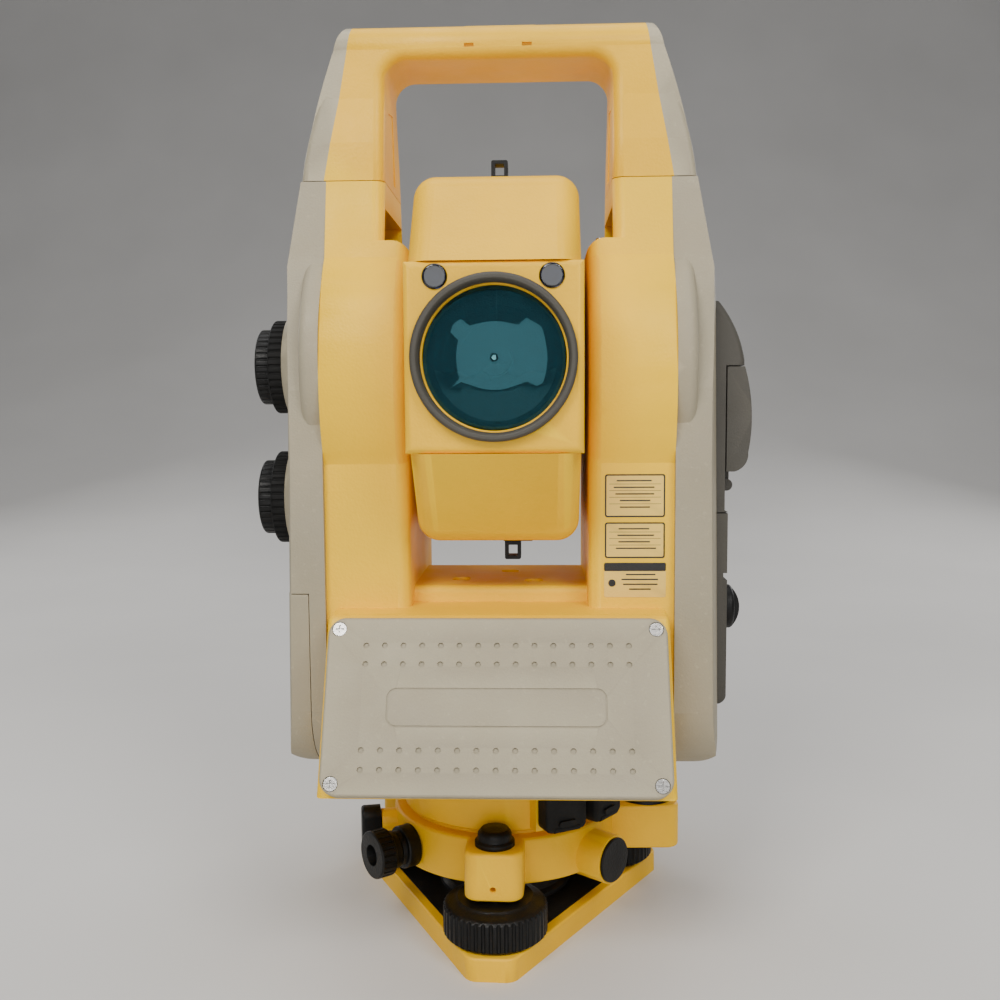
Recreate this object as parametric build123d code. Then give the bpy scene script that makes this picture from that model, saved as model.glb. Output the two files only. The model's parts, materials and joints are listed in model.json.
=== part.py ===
"""A surveying total station on its tribrach, in millimetres.

Frame: +Z up, origin at the centre of the tripod thread on the underside of the base plate.
The objective faces -Y and the telescope tilts about an axis along X.
"""

from build123d import *
import math
import os

# ---------------------------------------------------------------- driving dimensions
# Heights above the underside of the base plate.
BASE_TOP = 9.5
KNOB_BOTTOM, KNOB_TOP = 10.2, 25.2
TRIBRACH_BOTTOM, TRIBRACH_TOP = 27.0, 46.6
SEAT = 48.0
DRUM_TOP = 78.0
ALIDADE_BOTTOM = 79.0
LEDGE = 142.8
FLOOR = 149.4
AXIS = 243.0
SHOULDER = 293.0
SPLIT = 318.0
GRIP_UNDER, GRIP_TOP = 369.5, 384.0

# Half widths of the alidade, from its middle plane.
INNER = 36.5
LEG_INNER = 47.0
SEAM = 71.0
COVER_GAP = 0.3

# The tribrach: its turn under the instrument, its foot screws and its base plate.
TRIBRACH_TURN = -2.3
FOOT_CIRCLE = 54.5
FOOT_DIRECTIONS = {"front": -90, "right": 30, "left": 150}
KNOB_R = 21.5
SPINDLE_R = 4.0
RUNNING = 0.05
BASE_INRADIUS, BASE_CORNER = 46.4, 77.2
TRIPOD_THREAD_R = 6.8
BODY_R = 50.0
EYEPIECE_DIRECTION, SIDE_CAP_DIRECTION, LEVER_DIRECTION, VIAL_DIRECTION = -140, -37, -165, 4

# The instrument's lower base.
DRUM_R = 45.8
SPINDLE_AXIS_R = 11.0
PIN_CIRCLE, PIN_R = 33.0, 4.5
SOCKET_DIRECTIONS = {"power": -61.5, "data": -38.0}

# The telescope.
TELE_HALF = 32.5
BLOCK_HALF = 33.4
SWING_R = 89.5
TELE_TOP = 72.0
OBJECTIVE_R = 30.9
AXLE_R = 11.0

# The sloping panels, front and back: half width, half height and lean from the vertical.
PANEL_W, PANEL_H, PANEL_T = 132.0, 68.0, 5.5
PANEL_LEAN = 25.3
PANEL_Y, PANEL_Z = 81.0, 112.3

# The knobs on the left cover.
JOG_Z = {"vertical": AXIS, "horizontal": 185.0}
RING_R, DIAL_R = 20.5, 16.5
RING_OUT, DIAL_OUT = 100.0, 106.5


# ---------------------------------------------------------------- helpers
def block(x0, x1, y0, y1, z0, z1):
    """A box between six planes."""
    return Pos((x0 + x1) / 2, (y0 + y1) / 2, (z0 + z1) / 2) * Box(x1 - x0, y1 - y0, z1 - z0)


def rod_x(r, x0, x1, y=0.0, z=AXIS):
    """A cylinder along X."""
    return Pos((x0 + x1) / 2, y, z) * Rot(0, 90, 0) * Cylinder(r, x1 - x0)


def rod_y(r, y0, y1, x=0.0, z=AXIS):
    """A cylinder along Y."""
    return Pos(x, (y0 + y1) / 2, z) * Rot(90, 0, 0) * Cylinder(r, y1 - y0)


def rod_z(r, z0, z1, x=0.0, y=0.0):
    """A cylinder along Z."""
    return Pos(x, y, (z0 + z1) / 2) * Cylinder(r, z1 - z0)


def outline(start, *steps):
    """A closed face from a start point and steps: a point draws a line, a pair of points an arc through the first."""
    edges, here = [], start
    for step in steps:
        if isinstance(step[0], tuple):
            edges.append(ThreePointArc(here, step[0], step[1]))
            here = step[1]
        else:
            edges.append(Line(here, step))
            here = step
    if here != start:
        edges.append(Line(here, start))
    return make_face(edges)


def along_x(face, x0, x1):
    """A face drawn in (y, z), extruded from x0 to x1."""
    return extrude(Plane.YZ.offset(x0) * face, amount=x1 - x0)


def along_y(face, y0, y1):
    """A face drawn in (x, z), extruded from y0 to y1."""
    return extrude(Plane.XZ.offset(-y1) * face, amount=y1 - y0)


def along_z(face, z0, z1):
    """A face drawn in plan, extruded from z0 to z1."""
    return extrude(Pos(0, 0, z0) * face, amount=z1 - z0)


def spun(*points):
    """A solid of revolution about Z from points (radius, height)."""
    return revolve(Plane.XZ * make_face(Polyline(*points, close=True)), Axis.Z)


def polar(radius, direction):
    """A point in plan from a radius and a direction in degrees."""
    a = math.radians(direction)
    return radius * math.cos(a), radius * math.sin(a)


def mirrored(shape):
    """The same shape on the other side of the middle plane."""
    return mirror(shape, about=Plane.YZ)


def softened(shape, edges, *radii):
    """The shape with these edges rounded by the first radius that the edges allow."""
    for radius in radii:
        try:
            done = fillet(edges, radius)
            if done.is_valid:
                return done
        except Exception:
            continue
    print("not rounded:", len(edges), "edges")
    return shape


def joined(*shapes):
    """Separate solids kept together in one node."""
    solids = []
    for shape in shapes:
        solids.extend(shape.solids())
    return Compound(solids)


def ribbed(shape, cutters):
    """The shape with all the cutters taken away at once."""
    return shape - Compound([solid for cutter in cutters for solid in cutter.solids()])


# ---------------------------------------------------------------- tribrach
def cut_triangle(inradius, corner):
    """Plan of an equilateral triangle, one corner towards -Y, with its corners cut square."""
    half = (inradius - corner * 0.5) / math.sin(math.radians(60))
    points = []
    for k in range(3):
        a = math.radians(-90 + 120 * k)
        for side in (-half, half):
            points.append((corner * math.cos(a) - side * math.sin(a), corner * math.sin(a) + side * math.cos(a)))
    return make_face(Polyline(*points, close=True))


SPRING_T = 2.0
BALL_R, BALL_Z, NECK_R = 3.5, 4.8, 2.4


def base_plate():
    plate = along_z(cut_triangle(BASE_INRADIUS, BASE_CORNER), 0, BASE_TOP)
    plate = softened(plate, plate.edges().filter_by(Axis.Z), 6, 4)
    plate = softened(plate, plate.faces().sort_by(Axis.Z)[-1].edges(), 1.0, 0.6)
    recess = along_z(cut_triangle(BASE_INRADIUS - 4.5, 60), BASE_TOP - SPRING_T, BASE_TOP + 1)
    recess = softened(recess, recess.edges().filter_by(Axis.Z), 4)
    plate -= recess - rod_z(15, 0, BASE_TOP + 2)
    plate -= rod_z(TRIPOD_THREAD_R, -1, BASE_TOP + 1)
    for direction in FOOT_DIRECTIONS.values():
        plate -= rod_z(BALL_R + 0.35, 0.8, BASE_TOP + 1, *polar(FOOT_CIRCLE, direction))
    return plate


def spring_plate():
    plate = along_z(cut_triangle(BASE_INRADIUS - 4.7, 59.8), BASE_TOP - SPRING_T, BASE_TOP)
    plate = softened(plate, plate.edges().filter_by(Axis.Z), 4)
    dome = spun((15.3, BASE_TOP - 0.5), (30, BASE_TOP - 0.5), (30, BASE_TOP + 1.6), (28, BASE_TOP + 3), (15.3, BASE_TOP + 3))
    plate = plate + dome - rod_z(15.3, 0, 20)
    for direction in FOOT_DIRECTIONS.values():
        plate -= rod_z(NECK_R + 0.8, 0, 20, *polar(FOOT_CIRCLE, direction))
    return plate


def foot_spindle():
    """One levelling screw: a ball that turns in the base plate, a neck and the screw itself."""
    screw = Pos(0, 0, BALL_Z) * Sphere(BALL_R) + rod_z(NECK_R, BALL_Z, KNOB_BOTTOM + 0.3)
    return screw + rod_z(SPINDLE_R, KNOB_BOTTOM + 0.2, TRIBRACH_TOP + 0.8)


def foot_knob(ribs=44):
    knob = spun(
        (SPINDLE_R, KNOB_BOTTOM), (KNOB_R - 1, KNOB_BOTTOM), (KNOB_R, KNOB_BOTTOM + 1), (KNOB_R, KNOB_TOP - 3.4),
        (KNOB_R - 1.2, KNOB_TOP - 2.2), (KNOB_R - 5, KNOB_TOP - 0.9), (KNOB_R - 6, KNOB_TOP), (SPINDLE_R, KNOB_TOP),
    )
    groove = Pos(KNOB_R, 0, (KNOB_BOTTOM + KNOB_TOP) / 2 - 1) * Cylinder(0.85, KNOB_TOP - KNOB_BOTTOM - 3.4)
    return ribbed(knob, [Rot(0, 0, 360 / ribs * k) * groove for k in range(ribs)])


CAP_R = 8.2


def footscrew_caps():
    """Three hollow caps that cover the tops of the levelling screws."""
    cap = spun(
        (0, 49.6), (SPINDLE_R + 0.6, 49.6), (SPINDLE_R + 0.6, TRIBRACH_TOP), (CAP_R, TRIBRACH_TOP), (CAP_R, TRIBRACH_TOP + 1.8),
        (CAP_R - 1.1, TRIBRACH_TOP + 2.6), (CAP_R - 1.3, TRIBRACH_TOP + 5.2), (CAP_R - 2.6, TRIBRACH_TOP + 6.8), (0, TRIBRACH_TOP + 7.4),
    )
    return joined(*[Pos(*polar(FOOT_CIRCLE, d), 0) * cap for d in FOOT_DIRECTIONS.values()])


def radial(shape, direction):
    """A shape made along +X, turned to a direction in plan."""
    return Rot(0, 0, direction) * shape


EYEPIECE_Z, SIDE_CAP_Z, LEVER_Z = 36.0, 33.5, 40.0
VIAL_R = 64.5


def tribrach_body():
    body = rod_z(BODY_R, TRIBRACH_BOTTOM, TRIBRACH_TOP)
    lobe = block(20, 65.5, -12, 12, TRIBRACH_BOTTOM, TRIBRACH_TOP)
    lobe = softened(lobe, lobe.edges().filter_by(Axis.Z).sort_by(Axis.X)[-2:], 6.0)
    vial_lobe = block(30, VIAL_R + 14, -13.5, 13.5, TRIBRACH_BOTTOM, TRIBRACH_TOP)
    vial_lobe = softened(vial_lobe, vial_lobe.edges().filter_by(Axis.Z).sort_by(Axis.X)[-2:], 6.0)
    for direction in FOOT_DIRECTIONS.values():
        body += radial(lobe, direction)
    body += radial(vial_lobe, VIAL_DIRECTION)
    body = softened(body, body.faces().sort_by(Axis.Z)[-1].edges(), 1.6, 1.0)
    body = softened(body, body.faces().sort_by(Axis.Z)[0].edges(), 1.0, 0.6)
    body += rod_z(DRUM_R - 1.5, TRIBRACH_TOP - 1, SEAT)
    body += radial(rod_x(10.2, 38, 61, 0, SIDE_CAP_Z), SIDE_CAP_DIRECTION)
    body += radial(rod_x(6.5, 44, 56.5, 0, LEVER_Z - 2), LEVER_DIRECTION)
    body -= rod_z(40, 0, 40)
    body -= rod_z(19, 0, 60)
    body -= radial(rod_x(7.5, 30, 53, 0, EYEPIECE_Z), EYEPIECE_DIRECTION)
    body -= radial(rod_x(8.2, 36, 62, 0, SIDE_CAP_Z), SIDE_CAP_DIRECTION)
    body -= radial(rod_x(3.05, 36, 60, 0, LEVER_Z - 2), LEVER_DIRECTION)
    for direction in FOOT_DIRECTIONS.values():
        body -= rod_z(SPINDLE_R + RUNNING, 0, 60, *polar(FOOT_CIRCLE, direction))
        body -= rod_z(PIN_R + 0.15, 0, 60, *polar(PIN_CIRCLE, direction + 60))
        body -= radial(rod_x(1.3, 60, 70, 0, TRIBRACH_BOTTOM + 5), direction)
    body -= rod_z(12.6, 33, 60, *polar(VIAL_R, VIAL_DIRECTION))
    for k in range(3):
        x, y = polar(8.5, 60 + 120 * k + VIAL_DIRECTION)
        cx, cy = polar(VIAL_R, VIAL_DIRECTION)
        body -= rod_z(1.6, 0, 40, cx + x, cy + y)
    return body


def clamp_ring():
    """The rotating plate that grips the three centring pins, with a slot for each."""
    ring = rod_z(39, 33, 36.5) - rod_z(22, 30, 40)
    for k in range(3):
        for step in range(-4, 6):
            ring -= rod_z(PIN_R + 0.6, 30, 40, *polar(PIN_CIRCLE, 90 + 120 * k + 4 * step))
    return ring


def lock_lever():
    """The clamp lever: a flat handle on a short shaft that runs through the casting."""
    plate = Plane.YZ.offset(57) * RectangleRounded(10, 19, 4.4)
    lever = Pos(0, 0, LEVER_Z - 3) * extrude(plate, amount=8.5)
    lever = softened(lever, lever.faces().sort_by(Axis.X)[-1].edges(), 1.2, 0.6)
    return radial(lever + rod_x(3.0, 41.2, 58, 0, LEVER_Z - 2), LEVER_DIRECTION)


def plummet_fittings():
    """The fixed tube and collar of the optical plummet, and the end plug on the other side boss."""
    tube = rod_x(7.5, 40.5, 50, 0, EYEPIECE_Z) + rod_x(9.0, 50.1, 56, 0, EYEPIECE_Z)
    tube = softened(tube, tube.faces().sort_by(Axis.X)[-1].edges(), 1.0)
    tube += rod_x(7.4, 49, 58, 0, EYEPIECE_Z)
    tube -= rod_x(5.0, 30, 80, 0, EYEPIECE_Z)
    plug = rod_x(8.2, 52, 61, 0, SIDE_CAP_Z) + rod_x(9.4, 61, 62.2, 0, SIDE_CAP_Z)
    plug = softened(plug, plug.faces().sort_by(Axis.X)[-1].edges(), 0.6)
    return joined(radial(tube, EYEPIECE_DIRECTION), radial(plug, SIDE_CAP_DIRECTION))


def plummet_eyepiece():
    """The focusing eyepiece that turns on the plummet's tube."""
    piece = rod_x(8.0, 58.3, 63, 0, EYEPIECE_Z) + rod_x(10.0, 62, 69.5, 0, EYEPIECE_Z)
    piece = softened(piece, piece.edges().filter_by(GeomType.CIRCLE), 0.8, 0.5)
    piece -= rod_x(4.5, 66, 72, 0, EYEPIECE_Z)
    piece += rod_x(4.95, 46, 60, 0, EYEPIECE_Z)
    grooves = [Pos(0, 0, EYEPIECE_Z) * Rot(15 * k, 0, 0) * rod_x(0.6, 63.2, 68.4, 10.1, 0) for k in range(24)]
    return radial(ribbed(piece, grooves), EYEPIECE_DIRECTION)


def circular_vial_cup():
    x, y = polar(VIAL_R, VIAL_DIRECTION)
    cup = rod_z(12.2, 36.2, 47.6) - rod_z(10.2, 38.2, 50)
    for k in range(3):
        cup += rod_z(1.4, TRIBRACH_BOTTOM - 1.0, 36.6, *polar(8.5, 60 + 120 * k + VIAL_DIRECTION))
        cup += rod_z(2.0, TRIBRACH_BOTTOM - 1.1, TRIBRACH_BOTTOM, *polar(8.5, 60 + 120 * k + VIAL_DIRECTION))
    return Pos(x, y, 0) * cup


def circular_vial_glass():
    x, y = polar(VIAL_R, VIAL_DIRECTION)
    dome = rod_z(10.2, 38.2, 46.2) + (Pos(0, 0, 46.2 - 22) * Sphere(24.2) & rod_z(10.2, 46.1, 50))
    return Pos(x, y, 0) * dome


# ---------------------------------------------------------------- instrument base
COVER_W, COVER_IN, COVER_OUT = 19.0, 50.2, 58.0
COVER_Z0, COVER_Z1 = 50.5, 73.0
FOLD_X, FOLD_R = 57.0, 1.4


def lower_base():
    drum = spun((0, SEAT), (DRUM_R - 0.8, SEAT), (DRUM_R, SEAT + 0.8), (DRUM_R, 64), (DRUM_R - 1.6, 65.6), (DRUM_R - 1.6, DRUM_TOP), (0, DRUM_TOP))
    for direction in SOCKET_DIRECTIONS.values():
        drum += radial(block(36, COVER_IN - 0.4, -10.4, 10.4, 49.5, 74), direction)
    drum -= rod_z(38, 56, 90)
    drum -= rod_z(SPINDLE_AXIS_R + 5, 40, 60)
    for direction in SOCKET_DIRECTIONS.values():
        drum -= radial(rod_x(8.0, 36, 60, 0, 62), direction)
    return drum


def centring_pins():
    pin = spun((0, SEAT), (PIN_R, SEAT), (PIN_R, 42), (PIN_R - 1, 41), (PIN_R - 1, 37), (PIN_R, 36), (PIN_R, 34), (PIN_R - 1.5, 32), (0, 32))
    return joined(*[Pos(*polar(PIN_CIRCLE, d + 60), 0) * pin for d in FOOT_DIRECTIONS.values()])


CIRCLE_Z = 66.0


def azimuth_spindle():
    """The vertical axis that the alidade turns on, with its flange in the drum."""
    return rod_z(SPINDLE_AXIS_R + 5, SEAT, 56) + rod_z(26, 56, 60) + rod_z(SPINDLE_AXIS_R, 59, 134)


def horizontal_circle():
    return rod_z(33, CIRCLE_Z, CIRCLE_Z + 2) - rod_z(SPINDLE_AXIS_R, 60, 80)


def cable_sockets():
    """Two round metal sockets with contact pins."""
    made = []
    for direction in SOCKET_DIRECTIONS.values():
        socket = rod_x(8.0, 39.5, COVER_IN - 0.6, 0, 62) - rod_x(6.2, 42, 60, 0, 62)
        socket += rod_x(2.6, 41, 47, 0, 62)
        made.append(radial(socket, direction))
    return joined(*made)


def socket_cover(direction):
    """A rubber lid over one socket; it folds outwards about its lower edge."""
    lid = block(COVER_IN, COVER_OUT, -COVER_W / 2, COVER_W / 2, COVER_Z0, COVER_Z1)
    lid = softened(lid, lid.edges().filter_by(Axis.X), 3.0)
    lid = softened(lid, lid.faces().sort_by(Axis.X)[-1].edges(), 1.8, 1.0)
    pull = block(COVER_OUT - 0.5, COVER_OUT + 1.0, -4, 4, COVER_Z0 + 2.5, COVER_Z0 + 5)
    lid += softened(pull, pull.edges().filter_by(Axis.X), 1.0)
    lid += rod_y(FOLD_R, -6, 6, FOLD_X, COVER_Z0 + FOLD_R)
    return radial(lid, direction)


# ---------------------------------------------------------------- alidade casting
STANDARD_FRONT, BULGE_R = 46.0, 53.5


def standard_face(inset=0.0):
    """Side view of a standard, from the bottom of the alidade to the handle joint, with its drum bulge."""
    f, i = STANDARD_FRONT, inset
    return outline(
        (-29 + i, SPLIT), (-36 + i, SHOULDER - 7), ((-BULGE_R + i, AXIS), (-f + i, 202)), (-f + i, ALIDADE_BOTTOM + i),
        (f - i, ALIDADE_BOTTOM + i), (f - i, 202), ((BULGE_R - i, AXIS), (36 - i, SHOULDER - 7)), (29 - i, SPLIT),
    )


def panel_plane(side):
    """The plane of the front (-1) or back (1) panel's face, its z outwards and its y up the slope."""
    lean = math.radians(PANEL_LEAN)
    return Plane(origin=(0, side * PANEL_Y, PANEL_Z), x_dir=(-side, 0, 0), z_dir=(0, side * math.cos(lean), math.sin(lean)))


def slope_y(z, out):
    """Distance from the middle of a point on a panel's slope: its height and how far it is out of the face."""
    lean = math.radians(PANEL_LEAN)
    return PANEL_Y + out / math.cos(lean) - (z - PANEL_Z) * math.tan(lean)


def lower_box_face(inset=0.0):
    """Side view of the casting's foot, with its two sloping faces."""
    top = slope_y(LEDGE, -PANEL_T) - inset
    bottom = slope_y(ALIDADE_BOTTOM, -PANEL_T) - inset
    rise = LEDGE - inset
    return outline((-top, rise), (-bottom, ALIDADE_BOTTOM), (bottom, ALIDADE_BOTTOM), (top, rise))


def inner_rims(shape, x):
    """The front and back edges of a standard's inner face, which stands at x."""
    return ShapeList([e for e in shape.edges() if abs(e.center().X - x) < 0.05 and e.bounding_box().size.X < 0.1 and abs(e.center().Y) > 20])


def standard_solid():
    """One standard, on the +X side, before its pocket is cut: a leg up to the handle and a thicker cheek."""
    leg = along_x(standard_face(), LEG_INNER, SEAM)
    leg = softened(leg, inner_rims(leg, LEG_INNER), 5.0, 3.0, 2.0)
    cheek = along_x(standard_face(), INNER, SEAM)
    cheek = softened(cheek, inner_rims(cheek, INNER), 5.0, 3.0, 2.0)
    corner = 8.0
    front = outline(
        (INNER - 1, ALIDADE_BOTTOM - 1), (INNER - 1, SHOULDER - corner), ((INNER + 1.6, SHOULDER - 2.3), (INNER + corner, SHOULDER)),
        (SEAM, SHOULDER), (SEAM, ALIDADE_BOTTOM - 1),
    )
    return leg + (cheek & along_y(front, -80, 80))


FOOT_HALF = 67.8


def yoke():
    """The U-shaped casting: foot, floor and two standards, hollowed from outside and from below."""
    foot = along_x(lower_box_face(), -FOOT_HALF, FOOT_HALF)
    foot = softened(foot, foot.edges().filter_by(Axis.X).sort_by(Axis.Z)[-2:], 3.0)
    slopes = [e for e in foot.edges() if e.bounding_box().size.X < 0.1 and e.bounding_box().size.Z > 30]
    foot = softened(foot, ShapeList(slopes), 2.5, 1.5)
    platform = block(-INNER - 1, INNER + 1, -31, 31, LEDGE - 5, FLOOR)
    platform = softened(platform, platform.faces().sort_by(Axis.Z)[-1].edges().filter_by(Axis.X), 3.0)
    right = standard_solid()
    body = foot + platform + right + mirrored(right)
    pocket = along_x(standard_face(inset=5.0), 44, SEAM + 5) - block(40, 80, -80, 80, SHOULDER + 14, 400) - block(40, 80, -80, 80, 0, 88)
    boss = rod_x(23, 40, 56)
    for shape in (pocket - boss, mirrored(pocket - boss)):
        body -= shape
    body -= along_x(lower_box_face(6.0), -40, 40) - rod_z(19, 0, 150)
    body -= rod_z(SPINDLE_AXIS_R + RUNNING, 70, 136)
    body -= rod_x(AXLE_R + 1.5, -80, 80)
    for side in (-1, 1):
        body -= rod_x(16, min(side * 40, side * 60), max(side * 40, side * 60))
    for x, y in ((-18, -12), (14, -16), (3, 10)):
        body -= rod_z(4.2, FLOOR - 1.2, FLOOR + 5, x, y)
    return body



# ---------------------------------------------------------------- side covers
LEFT_OUT, RIGHT_OUT, FLARE = 91.5, 92.5, 2.2
PACK_IN, PACK_TOP = 78.0, 149.0
DISC_R, DISC_OUT = 54.0, 79.5
COVER_FOOT = 72.0


def cover_side(i=0.0):
    """Side view of a side cover."""
    return outline(
        (-29 + i, SPLIT), (-35 + i, SHOULDER - 7), (-47 + i, 232), (-49 + i, 200), (-49 + i, 100), ((-42 + i, 82 + i / 2), (-25, COVER_FOOT + i)),
        (25, COVER_FOOT + i), ((42 - i, 82 + i / 2), (49 - i, 100)), (49 - i, 200), (47 - i, 232), (35 - i, SHOULDER - 7), (29 - i, SPLIT),
    )


def cover_front(outer, i=0.0):
    """Front view of the cover on the +X side."""
    o = outer - i
    return outline(
        (SEAM - i, SPLIT + i), (81.5 - i, SPLIT + i), (o - 2, 262), ((o - 0.6, 252), (o, 240)), (o + FLARE, 96), ((o - 2.5, 79 + i / 2), (o - 14, COVER_FOOT + i)),
        (SEAM - i, COVER_FOOT + i),
    )


def cover_plan(outer, i=0.0):
    """Plan of the cover on the +X side: its outer face is bowed, so the front and back corners lie further in."""
    o = outer - i
    return outline(
        (SEAM - 8, -60), (o - 15, -60), ((o - 7.5, -48), (o - 5, -38)), ((o - 1.3, -19), (o, 0)), ((o - 1.3, 19), (o - 5, 38)),
        ((o - 7.5, 48), (o - 15, 60)), (SEAM - 8, 60),
    )


def cover_body(outer, i=0.0):
    """The bowed outer shape as a solid that widens a little towards the bottom."""
    return loft([Pos(0, 0, 60) * cover_plan(outer + 1.25 * FLARE, i), Pos(0, 0, SPLIT + 1) * cover_plan(outer - 0.5 * FLARE, i)], ruled=True)


def cover_blank(outer, x0=SEAM):
    blank = along_x(cover_side(), x0, outer + 5) & along_y(cover_front(outer), -70, 70)
    blank &= cover_body(outer)
    rims = [e for e in blank.edges() if e.bounding_box().min.X > x0 + 4 and abs(e.center().Y) > 30 and e.length > 12]
    return softened(blank, ShapeList(rims), 3.0, 2.0, 1.0)


def cover_hollow(outer, wall):
    hollow = along_x(cover_side(3.0), SEAM - 3, outer + 5) & along_y(cover_front(outer, wall), -70, 70)
    return hollow & cover_body(outer, wall)


def drum_disc():
    """The round boss about the tilting axis, next to the casting."""
    disc = rod_x(DISC_R, SEAM, DISC_OUT)
    return softened(disc, disc.faces().sort_by(Axis.X)[-1].edges(), 4.0)


def left_side_cover():
    cover = cover_blank(LEFT_OUT) + drum_disc()
    hollow = cover_hollow(LEFT_OUT, 3.0)
    hollow -= block(PACK_IN - 3.3, 110, -70, 70, 50, PACK_TOP + 3.3)
    hollow -= block(LEFT_OUT - 7, 110, -13, 13, PACK_TOP, PACK_TOP + 15)
    cover -= hollow
    for z in JOG_Z.values():
        collar = Pos(LEFT_OUT, 0, z) * Rot(0, 90, 0) * Cone(26.5, 21.8, 4)
        cover += collar + rod_x(12, LEFT_OUT - 12, LEFT_OUT + 1, 0, z)
    for z in JOG_Z.values():
        cover -= rod_x(7 + RUNNING, 60, 120, 0, z)
    cover -= block(PACK_IN - 0.3, 120, -80, 80, 50, PACK_TOP + 0.3)
    cover -= block(LEFT_OUT - 3, 120, -9, 9, PACK_TOP, PACK_TOP + 11)
    return mirrored(cover)


def battery_pack():
    pack = cover_blank(LEFT_OUT + 0.2) & block(PACK_IN, 120, -80, 80, 50, PACK_TOP)
    pack = softened(pack, pack.faces().sort_by(Axis.Z)[-1].edges(), 0.8, 0.5)
    strip = block(LEFT_OUT + 0.8, LEFT_OUT + 7, -26, 26, 82, 142)
    pack -= strip - block(LEFT_OUT - 3, LEFT_OUT + 8, -24.6, 24.6, 83.4, 140.6)
    return mirrored(pack)


def battery_latch():
    latch = block(LEFT_OUT - 2.6, LEFT_OUT + 3.4, -8.6, 8.6, PACK_TOP + 0.6, PACK_TOP + 6.6)
    latch = softened(latch, latch.faces().sort_by(Axis.X)[-1].edges(), 1.2)
    grooves = [block(LEFT_OUT + 2.8, LEFT_OUT + 5, -6.5 + 2 * k, -5.7 + 2 * k, 0, 400) for k in range(7)]
    return mirrored(ribbed(latch, grooves))


HOUSING_HALF = 26.0
BAY_FACE, PLATE_FACE, LIP = 94.5, 95.9, 102.4
BAY_BOTTOM, PLATE_TOP, DOOR_TOP = 180.0, 179.4, 241.0


def housing_front():
    """Front view of everything that stands on the right cover."""
    return outline(
        (RIGHT_OUT - 3.5, 268), (RIGHT_OUT - 1, 268), ((98.4, 257), (LIP, 243.6)), (LIP, DOOR_TOP + 0.4), (BAY_FACE, DOOR_TOP + 0.4),
        (BAY_FACE, BAY_BOTTOM), (PLATE_FACE, BAY_BOTTOM), (PLATE_FACE, 102), ((PLATE_FACE - 0.8, 99), (PLATE_FACE - 3, 97.5)), (RIGHT_OUT - 3.5, 97.5),
    )


def right_side_cover():
    cover = cover_blank(RIGHT_OUT) + drum_disc() - cover_hollow(RIGHT_OUT, 6.5)
    return cover - along_y(housing_front(), -HOUSING_HALF - 0.2, HOUSING_HALF + 0.2)


HINGE_X, HINGE_Z, KNUCKLE_R = 97.4, 190.5, 2.6
HINGE_HALF = 9.0
LOCK_Z = 135.0


def card_housing():
    """The fairing with its lip over the card door, the card bay and the lugs that carry the door."""
    housing = along_y(housing_front(), -HOUSING_HALF, HOUSING_HALF) & block(80, 120, -30, 30, BAY_BOTTOM - 0.1, 300)
    flanks = [e for e in housing.edges() if e.center().X > 96 and e.center().Z > DOOR_TOP + 1 and abs(e.center().Y) > 20]
    housing = softened(housing, ShapeList(flanks), 2.5, 1.5, 0.8)
    housing -= block(BAY_FACE - 3.5, BAY_FACE + 2, -21, 21, 198, 234)
    housing += block(BAY_FACE - 4, BAY_FACE - 1.5, -18, 18, 214, 217)
    for side in (-1, 1):
        near, far = sorted((side * (HINGE_HALF + 0.4), side * (HINGE_HALF + 3.5)))
        housing += rod_y(KNUCKLE_R, near, far, HINGE_X, HINGE_Z)
        housing += block(BAY_FACE - 0.5, HINGE_X, near, far, HINGE_Z - KNUCKLE_R, HINGE_Z + 1.6)
    return housing + rod_y(1.1, -HINGE_HALF - 3, HINGE_HALF + 3, HINGE_X, HINGE_Z)


def side_plate():
    """The long plate below the card door, with the shaft hole of the lock knob."""
    plate = along_y(housing_front(), -HOUSING_HALF, HOUSING_HALF) & block(80, 120, -30, 30, 80, PLATE_TOP)
    plate = softened(plate, plate.faces().sort_by(Axis.X)[-1].edges(), 1.5, 0.8)
    plate -= block(PLATE_FACE - 1.6, PLATE_FACE + 2, -30, 30, 151, 154)
    return plate - rod_x(3 + RUNNING, RIGHT_OUT - 2, 120, 0, LOCK_Z)


def card_door():
    x = BAY_FACE + 0.6
    face = outline((x, DOOR_TOP), (LIP, DOOR_TOP), ((105.5, 219), (104.2, 205)), ((102.6, 199.6), (98.5, 197)), (x, 197))
    half = HOUSING_HALF - 0.6
    door = along_y(face, -half, half)
    rims = [e for e in door.edges() if abs(abs(e.center().Y) - half) < 0.1 and e.center().X > x + 1 and e.center().Z < DOOR_TOP - 1]
    door = softened(door, ShapeList(rims), 3.0, 2.0, 1.0)
    door -= block(x - 2, x + 5.6, -half + 3, half - 3, 203, DOOR_TOP - 3)
    door += rod_y(KNUCKLE_R, -HINGE_HALF, HINGE_HALF, HINGE_X, HINGE_Z)
    door += block(HINGE_X - 1.6, HINGE_X + 1.6, -HINGE_HALF, HINGE_HALF, HINGE_Z, 198)
    return door - rod_y(1.1 + RUNNING, -HINGE_HALF - 1, HINGE_HALF + 1, HINGE_X, HINGE_Z)


def side_lock_knob():
    """A round lock knob with a raised grip bar across it."""
    knob = rod_x(9.7, PLATE_FACE + 0.4, PLATE_FACE + 6.5, 0, LOCK_Z)
    knob = softened(knob, knob.faces().sort_by(Axis.X)[-1].edges(), 1.6)
    grip = along_y(outline((PLATE_FACE + 6, LOCK_Z - 9), ((PLATE_FACE + 9.6, LOCK_Z), (PLATE_FACE + 6, LOCK_Z + 9))), -2.6, 2.6)
    return knob + grip + rod_x(3.0, RIGHT_OUT - 1.5, PLATE_FACE + 1, 0, LOCK_Z)


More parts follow.
